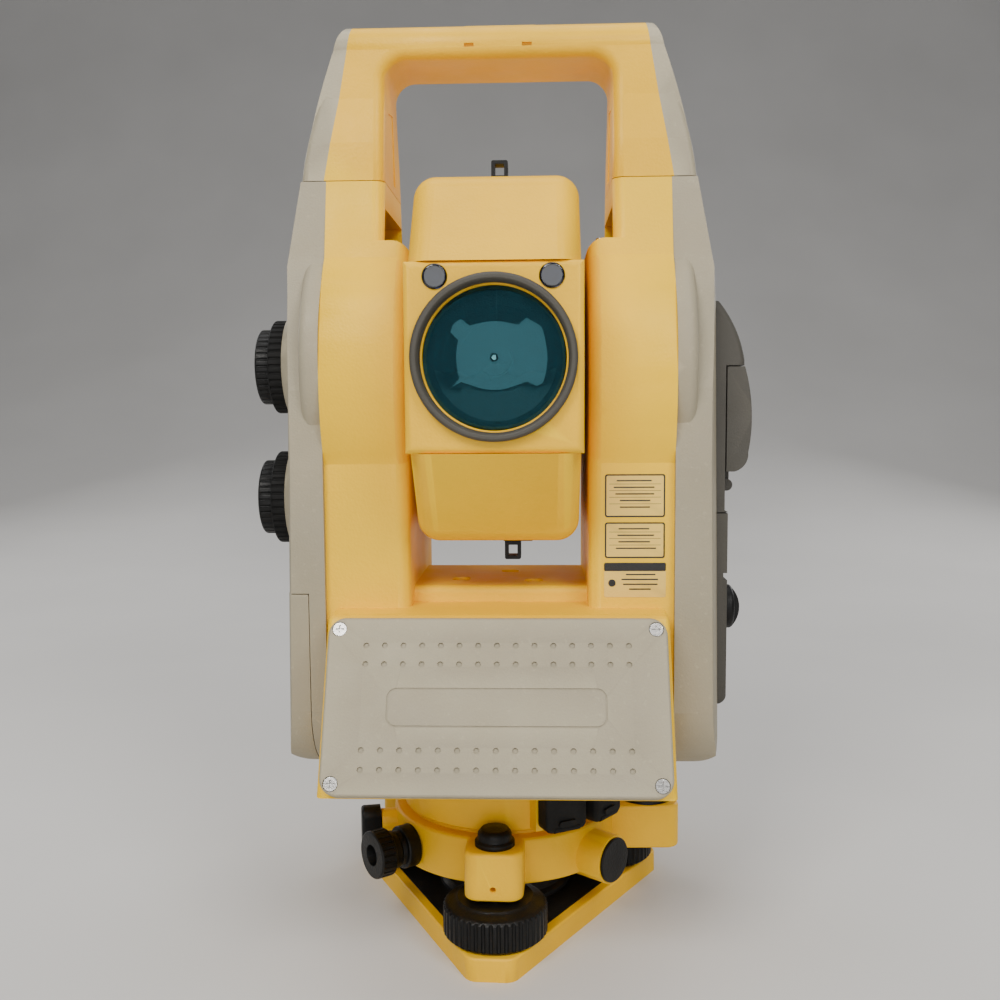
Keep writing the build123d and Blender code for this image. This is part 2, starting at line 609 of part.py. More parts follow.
# ---------------------------------------------------------------- handle
def handle_side(i=0.0):
    """Side view of the handle."""
    foot, waist, grip = 29 - i, 22 - i, 20.5 - i
    return outline(
        (-foot, SPLIT + 0.3), (-foot + 2, 334), (-waist, 353), (-grip, 373), ((-grip + 2.4, GRIP_TOP - i - 2.6), (-grip + 9, GRIP_TOP - i)),
        (grip - 9, GRIP_TOP - i), ((grip - 2.4, GRIP_TOP - i - 2.6), (grip, 373)), (waist, 353), (foot - 2, 334), (foot, SPLIT + 0.3),
    )


def handle_seam(z):
    """Distance from the middle of the seam between the handle and its end caps."""
    return 72 - (z - SPLIT) * 0.165


def handle_frame():
    high = GRIP_TOP + 2
    outer = outline((-handle_seam(SPLIT), SPLIT), (-handle_seam(high), high), (handle_seam(high), high), (handle_seam(SPLIT), SPLIT))
    inner = outline(
        (-LEG_INNER, SPLIT - 2), (-LEG_INNER - 0.5, 360), ((-LEG_INNER + 2.4, 367), (-38, GRIP_UNDER)), (38, GRIP_UNDER),
        ((LEG_INNER - 2.4, 367), (LEG_INNER + 0.5, 360)), (LEG_INNER, SPLIT - 2),
    )
    handle = along_x(handle_side(), -80, 80) & along_y(outer, -40, 40)
    handle -= along_y(inner, -40, 40)
    rims = [e for e in handle.edges() if abs(e.center().X) < LEG_INNER + 4 and abs(e.center().Y) > 15 and e.bounding_box().max.Z < GRIP_UNDER + 3]
    handle = softened(handle, ShapeList(rims), 4.5, 3.0, 1.5)
    pad = block(-14.5, 15.5, -8, 8, GRIP_TOP - 1, GRIP_TOP + 2.1)
    handle += softened(pad, pad.faces().sort_by(Axis.Z)[-1].edges(), 0.6)
    for side in (-1, 1):
        handle -= block(side * 12 - 2.0, side * 12 + 2.0, -22, -19.2, 373.4, 374.9)
        recess = along_x(outline((-12, 322), (-10, 350), (4, 352), (8, 322)), LEG_INNER - 1.0, LEG_INNER + 0.8)
        handle -= recess if side > 0 else mirrored(recess)
    return handle


def handle_covers():
    """The grey caps on both ends of the handle, with the screws' wells under them."""
    high = GRIP_TOP + 1
    face = outline(
        (handle_seam(SPLIT), SPLIT), (81.5, SPLIT), (80.6, 326), ((75.4, 350), (68.4, 373)), ((66.4, 379), (62.4, high)), (handle_seam(high), high),
    )
    cap = along_x(handle_side(), 50, 100) & along_y(face, -40, 40)
    rims = [e for e in cap.edges() if e.center().X > 74 and e.bounding_box().max.Z > SPLIT + 3]
    cap = softened(cap, ShapeList(rims), 3.0, 2.0, 1.0)
    return joined(cap, mirrored(cap))


# ---------------------------------------------------------------- sloping panels
SCREW_X, SCREW_Y, SCREW_R = 61.6, 29.4, 2.65


def panel_blank(side):
    plane = panel_plane(side)
    panel = extrude(plane * RectangleRounded(PANEL_W, PANEL_H, 7), amount=-PANEL_T)
    face = panel.faces().sort_by(lambda f: (f.center() - plane.origin).dot(plane.z_dir))[-1]
    return softened(panel, face.edges(), 1.0, 0.5)


def on_panel(side, sketch, depth0, depth1):
    """A shape standing between two depths on a panel; a positive depth is outside the face."""
    return extrude(panel_plane(side).offset(depth0) * sketch, amount=depth1 - depth0)


def screw_places():
    return [Pos(sx * SCREW_X, sy * SCREW_Y) for sx in (-1, 1) for sy in (-1, 1)]


def front_panel():
    panel = panel_blank(-1)
    holes = [on_panel(-1, place * Circle(SCREW_R + 0.25), -2.2, 1) for place in screw_places()]
    for up in (22.9, 15.6, -17.0, -24.2):
        for k in range(15):
            holes.append(on_panel(-1, Pos((k - 7) * 7.25, up) * Circle(1.15), -0.8, 1))
    holes.append(on_panel(-1, Pos(0, -1) * (RectangleRounded(84, 15, 4) - RectangleRounded(82.6, 13.6, 3.3)), -0.35, 1))
    return ribbed(panel, holes)


def panel_screws():
    """The cross-recessed screws of both panels."""
    made = []
    for side in (-1, 1):
        for place in screw_places():
            head = on_panel(side, place * Circle(SCREW_R), -2.2, -0.3)
            cross = Sketch() + Rectangle(3.2, 0.7) + Rectangle(0.7, 3.2)
            made.append(head - on_panel(side, place * cross, -1.2, 0))
    return joined(*made)


DISPLAY_W, DISPLAY_H, DISPLAY_X = 78.0, 50.0, -14.0
KEY_X, KEY_W, KEY_H, KEY_PITCH = 45.0, 13.0, 9.0, 12.5
KEY_NAMES = ("power", "menu", "escape", "enter")
KEY_GAP = 0.35


def key_place(index):
    return Pos(KEY_X, (1.5 - index) * KEY_PITCH)


def keyboard_housing():
    housing = panel_blank(1)
    cuts = [on_panel(1, place * Circle(SCREW_R + 0.25), -2.2, 1) for place in screw_places()]
    cuts.append(on_panel(1, Pos(DISPLAY_X, 0) * RectangleRounded(DISPLAY_W + 0.4, DISPLAY_H + 0.4, 3), -2.2, 1))
    for k in range(len(KEY_NAMES)):
        cuts.append(on_panel(1, key_place(k) * RectangleRounded(KEY_W + 2 * KEY_GAP, KEY_H + 2 * KEY_GAP, 2.3), -4.6, 1))
    return ribbed(housing, cuts)


def display_window():
    return on_panel(1, Pos(DISPLAY_X, 0) * RectangleRounded(DISPLAY_W, DISPLAY_H, 2.8), -2.2, -0.4)


def panel_key(index):
    key = on_panel(1, key_place(index) * RectangleRounded(KEY_W, KEY_H, 2), -3.2, 1.4)
    return key


# ---------------------------------------------------------------- inside the standards
def trunnion_bearings():
    ring = rod_x(16, 41, 55) - rod_x(AXLE_R + RUNNING, 30, 60)
    return joined(ring, mirrored(ring))


def main_board():
    board = block(62, 63.6, -33, 33, 104, 222)
    for y, z in ((-28, 110), (28, 110), (-28, 190), (28, 190)):
        board += rod_x(3, 44, 62.5, y, z)
    for y, z, w, h in ((-10, 150, 20, 20), (14, 130, 12, 16), (12, 180, 18, 10)):
        board += block(63.5, 66, y - w / 2, y + w / 2, z - h / 2, z + h / 2)
    return board


# ---------------------------------------------------------------- telescope
def telescope_side(i=0.0):
    """Side view of the whole telescope, without the objective and the eyepiece."""
    z = TELE_TOP - i
    return outline(
        (-82 + i, AXIS - MIDDLE), (-82 + i, AXIS + MIDDLE), (-56 + i, AXIS + z - 5), ((-52.5 + i, AXIS + z - 1.5), (-47 + i, AXIS + z)),
        (42 - i, AXIS + z), ((50 - i, AXIS + z - 3), (53 - i, AXIS + z - 12)), (60 - i, AXIS + MIDDLE),
        (60 - i, AXIS - MIDDLE), (53 - i, AXIS - z + 12),
        ((50 - i, AXIS - z + 3), (42 - i, AXIS - z)), (-47 + i, AXIS - z), ((-52.5 + i, AXIS - z + 1.5), (-56 + i, AXIS - z + 5)),
    )


MIDDLE = 35.4
BARREL_R = 27.0


def telescope_body():
    """The middle of the telescope: the block that the axle and the optics are fixed in."""
    solid = along_x(telescope_side(), -BLOCK_HALF, BLOCK_HALF) & block(-60, 60, -100, 100, AXIS - MIDDLE, AXIS + MIDDLE)
    front = solid.faces().sort_by(Axis.Y)[0]
    solid = softened(solid, front.edges(), 3.0, 2.0)
    solid -= rod_y(BARREL_R, -90, -5) + rod_y(18, -10, 90)
    solid -= rod_y(OBJECTIVE_R + 0.1, -90, -78)
    for side in (-1, 1):
        solid -= rod_y(4.75, -90, -76, side * 21.5, 272.6)
        solid -= rod_x(AXLE_R, min(side * 29, side * 40), max(side * 29, side * 40))
    return solid


def telescope_cover(upward):
    """The upper or lower hood: rounded across its top, with a finger groove on each side of its slope."""
    hood = along_x(telescope_side(), -TELE_HALF, TELE_HALF) & block(-60, 60, -100, 100, AXIS + MIDDLE, AXIS + 120)
    rims = [e for e in hood.edges() if e.bounding_box().size.X < 0.1 and e.bounding_box().max.Z > AXIS + MIDDLE + 1]
    cover = softened(hood, ShapeList(rims), 11.0, 9.0, 7.0, 5.0, 4.0)
    cover -= along_x(telescope_side(2.5), -TELE_HALF + 7, TELE_HALF - 7) & block(-60, 60, -100, 100, AXIS, AXIS + 60)
    for side in (-1, 1):
        groove = Rot(-39.4, 0, 0) * (Pos(0, 0, -1.25) * Cylinder(3.2, 14.5) + Pos(0, 0, 6) * Sphere(3.2))
        cover -= Pos(side * 27.5, -71.4, AXIS + 50.6) * groove
    return cover if upward else mirror(cover, about=Plane.XY.offset(AXIS))


def objective_ring():
    ring = spun((27.6, 78), (OBJECTIVE_R, 78), (OBJECTIVE_R, 85), (OBJECTIVE_R - 0.9, 86), (28.6, 86), (27.6, 84.5))
    return Pos(0, 0, AXIS) * Rot(90, 0, 0) * ring


def objective_lens():
    body = Pos(0, 0, AXIS) * Rot(90, 0, 0) * spun((0, 70), (BARREL_R, 70), (BARREL_R, 75.5), (BARREL_R - 6, 76.9), (BARREL_R - 14, 77.9), (0, 78.6))
    return body


def lens_barrel():
    """The black tube behind the objective, with light-trap steps and the mirror holder on its spider."""
    tube = rod_y(BARREL_R, -69.5, -5.5) - rod_y(BARREL_R - 2, -80, -8)
    for k in range(4):
        y = -62 + 13 * k
        tube += rod_y(BARREL_R - 1, y, y + 1.2) - rod_y(BARREL_R - 5 - 2.2 * k, y - 1, y + 2)
    tube += rod_y(6.0, -66, -58)
    for k in range(3):
        tube += Pos(0, 0, AXIS) * Rot(0, 30 + 120 * k, 0) * (Pos(0, 0, -AXIS) * block(5, BARREL_R - 1, -64, -62.8, AXIS - 0.6, AXIS + 0.6))
    return tube - rod_y(4, -8, 0)


def guide_lenses():
    lens = rod_y(4.7, -83, -77, 21.5, 272.6)
    lens = softened(lens, lens.faces().sort_by(Axis.Y)[0].edges(), 1.0)
    return joined(lens, mirrored(lens))


SIGHT_X = 3.0


def open_sights():
    """Two open sights: the upper in the middle, the lower to one side, each a base and a frame with a window."""
    z = AXIS + TELE_TOP
    frame = block(-2.7, 4.1, -30, -22, z + 1, z + 10.3)
    frame = softened(frame, frame.edges().filter_by(Axis.Y).sort_by(Axis.Z)[-2:], 0.8)
    frame -= block(-1.2, 2.6, -60, 0, z + 4.2, z + 8.9)
    upper = block(-7.6, 4.4, -36, -14, z, z + 1.8) + frame
    return joined(upper, Pos(SIGHT_X, 0, AXIS) * Rot(0, 180, 0) * Pos(-SIGHT_X, 0, -AXIS) * upper)


def trunnion_axle():
    made = []
    for side, length in ((-1, 68), (1, 58)):
        made.append(rod_x(AXLE_R, min(side * 29, side * length), max(side * 29, side * length)) - rod_x(5, -90, 90))
    return joined(*made)


def vertical_circle():
    return rod_x(30, -62, -60) - rod_x(AXLE_R, -80, 80)


def focus_ring(ribs=36):
    ring = rod_y(25.5, 60.6, 72.5)
    ring = softened(ring, ring.edges().filter_by(GeomType.CIRCLE), 1.2)
    grooves = [Pos(0, 0, AXIS) * Rot(0, 360 / ribs * k, 0) * (Pos(0, 0, -AXIS) * rod_y(0.8, 62.5, 70.5, 25.7)) for k in range(ribs)]
    return ribbed(ring, grooves) + rod_y(17.9, 50, 61) - rod_y(12.05, 40, 80)


def eyepiece(ribs=30):
    piece = rod_y(15.0, 73.0, 82.0) + rod_y(13.0, 81, 88)
    piece = softened(piece, piece.edges().filter_by(GeomType.CIRCLE), 0.8)
    grooves = [Pos(0, 0, AXIS) * Rot(0, 360 / ribs * k, 0) * (Pos(0, 0, -AXIS) * rod_y(0.6, 74, 80.5, 15.1)) for k in range(ribs)]
    return ribbed(piece, grooves) + rod_y(12.0, 52, 74) - rod_y(8, 84, 90)


# ---------------------------------------------------------------- knobs on the left cover
def jog_ring(z, ribs=40):
    ring = rod_x(RING_R, LEFT_OUT + 2.4, RING_OUT, 0, z)
    ring = softened(ring, ring.faces().sort_by(Axis.X)[-1].edges(), 0.8)
    grooves = [Pos(0, 0, z) * Rot(360 / ribs * k, 0, 0) * (Pos(0, 0, -z) * rod_x(0.7, LEFT_OUT + 1, RING_OUT - 0.7, RING_R + 0.1, z)) for k in range(ribs)]
    ring = ribbed(ring, grooves) + rod_x(7.0, LEFT_OUT - 10, LEFT_OUT + 3, 0, z)
    return mirrored(ring - rod_x(4.0, 60, 120, 0, z))


def fine_dial(z, ribs=36):
    dial = rod_x(DIAL_R, RING_OUT + 0.4, DIAL_OUT, 0, z)
    dial = softened(dial, dial.faces().sort_by(Axis.X)[-1].edges(), 0.8)
    grooves = [Pos(0, 0, z) * Rot(360 / ribs * k, 0, 0) * (Pos(0, 0, -z) * rod_x(0.6, RING_OUT, DIAL_OUT - 0.8, DIAL_R + 0.1, z)) for k in range(ribs)]
    return mirrored(ribbed(dial, grooves) + rod_x(4.0 - RUNNING, LEFT_OUT - 12, RING_OUT + 1, 0, z))


parts = {}


def tribrach_parts():
    turn = Rot(0, 0, TRIBRACH_TURN)
    parts["base_plate"] = turn * base_plate()
    parts["spring_plate"] = turn * spring_plate()
    for name, direction in FOOT_DIRECTIONS.items():
        x, y = polar(FOOT_CIRCLE, direction)
        parts["foot_knob_" + name] = turn * (Pos(x, y, 0) * foot_knob())
        parts["foot_spindle_" + name] = turn * (Pos(x, y, 0) * foot_spindle())
    parts["tribrach_body"] = turn * tribrach_body()
    parts["footscrew_caps"] = turn * footscrew_caps()
    parts["clamp_ring"] = turn * clamp_ring()
    parts["lock_lever"] = turn * lock_lever()
    parts["plummet_fittings"] = turn * plummet_fittings()
    parts["plummet_eyepiece"] = turn * plummet_eyepiece()
    parts["circular_vial_cup"] = turn * circular_vial_cup()
    parts["circular_vial_glass"] = turn * circular_vial_glass()


def base_parts():
    parts["lower_base"] = lower_base()
    parts["centring_pins"] = Rot(0, 0, TRIBRACH_TURN) * centring_pins()
    parts["azimuth_spindle"] = azimuth_spindle()
    parts["horizontal_circle"] = horizontal_circle()
    parts["cable_sockets"] = cable_sockets()
    parts["power_socket_cover"] = socket_cover(SOCKET_DIRECTIONS["power"])
    parts["data_socket_cover"] = socket_cover(SOCKET_DIRECTIONS["data"])


def alidade_parts():
    parts["yoke"] = yoke()
    parts["left_side_cover"] = left_side_cover()
    parts["right_side_cover"] = right_side_cover()
    parts["handle_frame"] = handle_frame()
    parts["handle_covers"] = handle_covers()
    parts["front_panel"] = front_panel()
    parts["panel_screws"] = panel_screws()
    parts["keyboard_housing"] = keyboard_housing()
    parts["display_window"] = display_window()
    for index, name in enumerate(KEY_NAMES):
        parts[name + "_key"] = panel_key(index)
    parts["trunnion_bearings"] = trunnion_bearings()
    parts["main_board"] = main_board()
    parts["card_housing"] = card_housing()
    parts["side_plate"] = side_plate()
    parts["card_door"] = card_door()
    parts["side_lock_knob"] = side_lock_knob()
    parts["battery_pack"] = battery_pack()
    parts["battery_latch"] = battery_latch()
    for name, z in JOG_Z.items():
        parts[name + "_jog_ring"] = jog_ring(z)
        parts[name + "_fine_dial"] = fine_dial(z)


def telescope_parts():
    parts["telescope_body"] = telescope_body()
    parts["telescope_top_cover"] = telescope_cover(True)
    parts["telescope_bottom_cover"] = telescope_cover(False)
    parts["objective_ring"] = objective_ring()
    parts["objective_lens"] = objective_lens()
    parts["lens_barrel"] = lens_barrel()
    parts["guide_lenses"] = guide_lenses()
    parts["open_sights"] = open_sights()
    parts["trunnion_axle"] = trunnion_axle()
    parts["vertical_circle"] = vertical_circle()
    parts["focus_ring"] = focus_ring()
    parts["eyepiece"] = eyepiece()


tribrach_parts()
base_parts()
alidade_parts()
telescope_parts()
os.makedirs("parts", exist_ok=True)
for name, shape in parts.items():
    export_step(shape, "parts/" + name + ".step")
    print(name, len(shape.solids()), round(sum(s.volume for s in shape.solids())), all(s.is_valid for s in shape.solids()))
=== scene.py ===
"""The looks of a surveying total station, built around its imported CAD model."""

import json
import math
import random
from collections import namedtuple

import bmesh
import bpy
from mathutils import Matrix, Vector


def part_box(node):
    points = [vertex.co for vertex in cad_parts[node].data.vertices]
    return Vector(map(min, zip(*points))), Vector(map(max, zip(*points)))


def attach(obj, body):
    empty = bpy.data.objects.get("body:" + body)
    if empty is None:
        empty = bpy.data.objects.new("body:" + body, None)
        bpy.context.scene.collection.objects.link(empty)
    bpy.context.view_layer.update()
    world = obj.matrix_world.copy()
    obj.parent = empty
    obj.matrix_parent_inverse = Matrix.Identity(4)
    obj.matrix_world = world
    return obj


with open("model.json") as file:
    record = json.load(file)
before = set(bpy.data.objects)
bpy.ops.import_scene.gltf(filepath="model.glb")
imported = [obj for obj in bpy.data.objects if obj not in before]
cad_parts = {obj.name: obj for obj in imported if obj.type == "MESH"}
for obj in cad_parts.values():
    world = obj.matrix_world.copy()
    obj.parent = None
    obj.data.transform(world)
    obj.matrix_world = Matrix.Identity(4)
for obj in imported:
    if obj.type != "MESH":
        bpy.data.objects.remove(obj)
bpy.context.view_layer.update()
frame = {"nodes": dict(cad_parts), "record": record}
NODES = frame["nodes"]
SLOT_OF = {part["node"]: part["material_slot"] for part in frame["record"]["subparts"]}
MM = 0.001
random.seed(7)


# ---------------------------------------------------------------- materials
class Graph:
    """A material's node tree with short calls for the nodes used here."""

    def __init__(self, name):
        self.material = bpy.data.materials.new(name)
        self.material.use_nodes = True
        self.tree = self.material.node_tree
        self.shader = self.tree.nodes["Principled BSDF"]
        self.coords = self.tree.nodes.new("ShaderNodeTexCoord").outputs["Object"]

    def link(self, source, target):
        self.tree.links.new(source, target)

    def set(self, **values):
        for key, value in values.items():
            self.shader.inputs[key.replace("_", " ")].default_value = value

    def stretched(self, scale):
        mapping = self.tree.nodes.new("ShaderNodeMapping")
        mapping.inputs["Scale"].default_value = scale
        self.link(self.coords, mapping.inputs["Vector"])
        return mapping.outputs["Vector"]

    def noise(self, scale, detail=3.0, rough=0.5, stretch=None):
        node = self.tree.nodes.new("ShaderNodeTexNoise")
        node.inputs["Scale"].default_value = scale
        node.inputs["Detail"].default_value = detail
        node.inputs["Roughness"].default_value = rough
        self.link(self.stretched(stretch) if stretch else self.coords, node.inputs["Vector"])
        return node.outputs["Fac"]

    def cells(self, scale):
        node = self.tree.nodes.new("ShaderNodeTexVoronoi")
        node.inputs["Scale"].default_value = scale
        self.link(self.coords, node.inputs["Vector"])
        return node.outputs["Distance"]

    def edge_wear(self):
        """Convex edges, from the mesh's pointiness."""
        return self.tree.nodes.new("ShaderNodeNewGeometry").outputs["Pointiness"]

    def ramp(self, source, *stops):
        """Colours at places along a source, from 0 to 1."""
        node = self.tree.nodes.new("ShaderNodeValToRGB")
        elements = node.color_ramp.elements
        while len(elements) < len(stops):
            elements.new(0.5)
        for element, (place, colour) in zip(elements, stops):
            element.position = place
            element.color = (*colour, 1.0)
        self.link(source, node.inputs["Fac"])
        return node.outputs["Color"]

    def grey(self, source, values, span):
        """A grey that goes between two values as the source crosses a span."""
        return self.ramp(source, *((place, (value,) * 3) for place, value in zip(span, values)))

    def mix(self, factor, under, over):
        """A plain colour laid over a source, as far as the factor says."""
        node = self.tree.nodes.new("ShaderNodeMix")
        node.data_type = "RGBA"
        sockets = {socket.identifier: socket for socket in node.inputs}
        self.link(factor, sockets["Factor_Float"])
        self.link(under, sockets["A_Color"])
        sockets["B_Color"].default_value = (*over, 1.0)
        return {socket.identifier: socket for socket in node.outputs}["Result_Color"]

    def bump(self, height, strength, distance, after=None):
        node = self.tree.nodes.new("ShaderNodeBump")
        node.inputs["Strength"].default_value = strength
        node.inputs["Distance"].default_value = distance
        self.link(height, node.inputs["Height"])
        if after is not None:
            self.link(after, node.inputs["Normal"])
        return node.outputs["Normal"]

    def colour(self, source):
        self.link(source, self.shader.inputs["Base Color"])

    def roughness(self, source):
        self.link(source, self.shader.inputs["Roughness"])

    def normal(self, source):
        self.link(source, self.shader.inputs["Normal"])


def linear(*display):
    """A display colour of 0 to 255 as scene-linear values."""
    return tuple(((c / 255 + 0.055) / 1.055) ** 2.4 if c > 10 else c / 255 / 12.92 for c in display)


def shade(colour, factor):
    return tuple(min(1.0, c * factor) for c in colour)


def painted(name, base, dust, grain=900.0, rough=(0.42, 0.56)):
    """Finely pebbled paint on a casting: two sizes of grain, mottling, dust and paler edges."""
    g = Graph(name)
    mottle = g.ramp(g.noise(26, 4), (0.3, shade(base, 0.90)), (0.7, shade(base, 1.05)))
    grime = g.grey(g.noise(9, 5, 0.65), values=(0.0, 0.16), span=(0.5, 0.8))
    worn = g.grey(g.edge_wear(), values=(0.0, 0.5), span=(0.53, 0.60))
    g.colour(g.mix(worn, g.mix(grime, mottle, dust), shade(base, 1.25)))
    g.roughness(g.grey(g.noise(60, 3), values=rough, span=(0.3, 0.7)))
    fine = g.bump(g.cells(grain), strength=0.22, distance=0.0003)
    g.normal(g.bump(g.noise(grain * 0.4, 2), strength=0.18, distance=0.0004, after=fine))
    g.set(Specular_IOR_Level=0.32, Coat_Weight=0.04, Coat_Roughness=0.3)
    return g.material


DUST = (0.30, 0.28, 0.25)


def moulded(name, base, grain=1100.0, rough=(0.5, 0.66), dust_top=0.18, specular=0.45):
    """Moulded plastic with an eroded texture, colour drift, patches of dust and rubbed edges."""
    g = Graph(name)
    drift = g.ramp(g.noise(14, 5, 0.6), (0.3, shade(base, 0.90)), (0.72, shade(base, 1.08)))
    specks = g.grey(g.noise(420, 2, 0.6), values=(0.0, 0.30), span=(0.62, 0.74))
    speckled = g.mix(specks, drift, shade(base, 1.35))
    patches = g.grey(g.noise(11, 6, 0.7), values=(0.0, dust_top), span=(0.52, 0.8))
    rubbed = g.grey(g.edge_wear(), values=(0.0, 0.45), span=(0.53, 0.62))
    g.colour(g.mix(rubbed, g.mix(patches, speckled, DUST), shade(base, 1.5)))
    g.roughness(g.grey(g.noise(75, 3), values=rough, span=(0.3, 0.7)))
    fine = g.bump(g.cells(grain), strength=0.25, distance=0.0003)
    g.normal(g.bump(g.noise(grain * 0.5, 2), strength=0.15, distance=0.0003, after=fine))
    g.set(Specular_IOR_Level=specular)
    return g.material


DRAWN = (1, 1, 40)


def metal(name, base, rough=(0.22, 0.38)):
    """Turned or ground metal with fine drawn lines."""
    g = Graph(name)
    lines = g.noise(300, 3, 0.6, DRAWN)
    g.colour(g.ramp(lines, (0.3, shade(base, 0.78)), (0.7, shade(base, 1.1))))
    g.roughness(g.grey(g.noise(90, 3, 0.6, DRAWN), values=rough, span=(0.3, 0.7)))
    g.normal(g.bump(lines, strength=0.08, distance=0.0002))
    g.set(Metallic=1.0)
    return g.material


def glassy(name, tint, rough=0.03, transmission=1.0, ior=1.5, smear=0.05):
    """Glass or liquid with faint smears."""
    g = Graph(name)
    smears = g.noise(40, 4, 0.6)
    g.colour(g.ramp(smears, (0.3, shade(tint, 0.94)), (0.7, tint)))
    g.roughness(g.grey(smears, values=(rough, rough + smear), span=(0.45, 0.8)))
    g.set(Transmission_Weight=transmission, IOR=ior)
    return g.material


def coated_lens(name):
    """Anti-reflection coated glass whose colour carries a painted reflection of its coating:
    blue-green straight on, violet at a slant.
    """
    g = Graph(name)
    weight = g.tree.nodes.new("ShaderNodeLayerWeight")
    weight.inputs["Blend"].default_value = 0.35
    # Painted reflection: the coating's reflected tint is laid into the glass's own colour, changing
    # with the viewing angle.
    straight, slanting, grazing = linear(122, 150, 158), linear(112, 146, 156), linear(130, 122, 160)
    painted_coating_reflection = g.ramp(weight.outputs["Facing"], (0.0, straight), (0.45, slanting), (0.85, grazing))
    haze = g.grey(g.noise(30, 4), values=(0.0, 0.2), span=(0.4, 0.8))
    g.colour(g.mix(haze, painted_coating_reflection, linear(150, 170, 176)))
    g.roughness(g.grey(g.noise(45, 4), values=(0.0, 0.04), span=(0.5, 0.8)))
    g.set(Transmission_Weight=1.0, IOR=1.5, Specular_Tint=(*linear(140, 225, 240), 1))
    return g.material


YELLOW = linear(246, 190, 0)
BEIGE = linear(158, 149, 126)
CHARCOAL = linear(68, 65, 58)
BLACK = linear(9, 9, 9)
RUBBER = linear(12, 12, 12)
ANODISED = linear(12, 12, 13)

SLOT_MATERIALS = {
    "yellow_paint": painted("yellow_paint", YELLOW, dust=linear(196, 148, 16)),
    "grey_plastic": moulded("grey_plastic", BEIGE),
    "dark_grey_plastic": moulded("dark_grey_plastic", CHARCOAL, dust_top=0.06),
    "black_plastic": moulded(
        "black_plastic", BLACK, rough=(0.38, 0.52), dust_top=0.02, specular=0.28
    ),
    "black_rubber": moulded(
        "black_rubber", RUBBER, grain=700, rough=(0.6, 0.8), dust_top=0.05, specular=0.3
    ),
    "steel": metal("steel", linear(190, 188, 184)),
    "black_anodised": moulded(
        "black_anodised", ANODISED, grain=1500, rough=(0.35, 0.5), dust_top=0.05
    ),
    "clear_glass": glassy("clear_glass", linear(235, 245, 245)),
    "coated_glass": coated_lens("coated_glass"),
    "display_glass": glassy("display_glass", linear(30, 36, 34), rough=0.06, transmission=0.0),
    "dark_key": moulded("dark_key", linear(52, 52, 54), rough=(0.55, 0.7)),
    "circuit_board": moulded("circuit_board", linear(24, 84, 46), grain=300, rough=(0.35, 0.5)),
}

LABEL_FILM = painted(
    "label_film", linear(226, 190, 92), dust=linear(180, 160, 110), grain=1500, rough=(0.3, 0.4)
)
DARK_INK = moulded(
    "printed_ink", linear(26, 25, 24), grain=1600, rough=(0.35, 0.5), dust_top=0.08
)
PALE_INK = moulded(
    "pale_print", linear(196, 194, 186), grain=1600, rough=(0.4, 0.55), dust_top=0.08
)
BUBBLE = glassy("air_bubble", linear(236, 246, 220), rough=0.02, ior=1.02)
GUIDE_GLASS = glassy("guide_glass", linear(58, 70, 104), rough=0.01, ior=1.6, smear=0.03)
VIAL_FLUID = glassy("vial_fluid", linear(214, 232, 150), rough=0.02, ior=1.45)
BRIGHT_SCREW = metal("bright_screw", linear(206, 204, 200), rough=(0.18, 0.3))

OWN_MATERIAL = {"circular_vial_glass": VIAL_FLUID, "guide_lenses": GUIDE_GLASS}


# ---------------------------------------------------------------- CAD nodes
ROUNDED_IN_CAD = ("front_panel", "keyboard_housing")
EDGE_RADIUS = 0.35 * MM
EDGE_ANGLE = math.radians(38)
WELD_DISTANCE = 0.01 * MM


def soften_edges(node):
    weld = node.modifiers.new("weld", "WELD")
    weld.merge_threshold = WELD_DISTANCE
    bevel = node.modifiers.new("bevel", "BEVEL")
    bevel.width = EDGE_RADIUS
    bevel.segments = 2
    bevel.limit_method = "ANGLE"
    bevel.angle_limit = EDGE_ANGLE
    bevel.harden_normals = True
    bevel.use_clamp_overlap = True


def dress_cad_nodes():
    """Every CAD node gets its material, and soft edges unless its rim is already rounded."""
    for name, node in NODES.items():
        node.data.materials.clear()
        node.data.materials.append(OWN_MATERIAL.get(name) or SLOT_MATERIALS[SLOT_OF[name]])
        if name not in ROUNDED_IN_CAD:
            soften_edges(node)


# ---------------------------------------------------------------- floor, light and camera
FLOOR_FRONT, FLOOR_BACK, FLOOR_SIDE = -5.0, 2.6, 6.0
BACKDROP_HEIGHT, BEND_RADIUS, BEND_STEPS = 5.0, 1.8, 12


def placed(name, data):
    """A new object in the scene that holds a mesh, light or camera."""
    made = bpy.data.objects.new(name, data)
    bpy.context.scene.collection.objects.link(made)
    return made


def make_floor():
    """A pale floor that bends up into a backdrop."""
    start = FLOOR_BACK - BEND_RADIUS
    profile = [(FLOOR_FRONT, 0.0), (start, 0.0)]
    for k in range(1, BEND_STEPS + 1):
        a = math.pi / 2 * k / BEND_STEPS
        profile.append((start + BEND_RADIUS * math.sin(a), BEND_RADIUS - BEND_RADIUS * math.cos(a)))
    profile.append((FLOOR_BACK, BACKDROP_HEIGHT))

    ground = bmesh.new()
    sides = (-FLOOR_SIDE, FLOOR_SIDE)
    left, right = ([ground.verts.new((x, y, z)) for y, z in profile] for x in sides)
    for k in range(len(profile) - 1):
        ground.faces.new((left[k], right[k], right[k + 1], left[k + 1]))
    mesh = bpy.data.meshes.new("floor")
    ground.to_mesh(mesh)
    ground.free()
    for face in mesh.polygons:
        face.use_smooth = True

    g = Graph("floor_paper")
    g.colour(g.ramp(g.noise(3, 3), (0.3, linear(200, 198, 195)), (0.7, linear(208, 206, 203))))
    g.set(Roughness=0.85)
    mesh.materials.append(g.material)
    floor = placed("floor", mesh)


SKY, SKY_STRENGTH = (0.80, 0.82, 0.86, 1), 0.28
WHITE, WARM, FAINTLY_WARM = (1, 1, 1), (1.0, 0.97, 0.92), (1.0, 0.98, 0.95)
MIDDLE, LOW_MIDDLE = (0, 0, 0.22), (0, 0, 0.2)


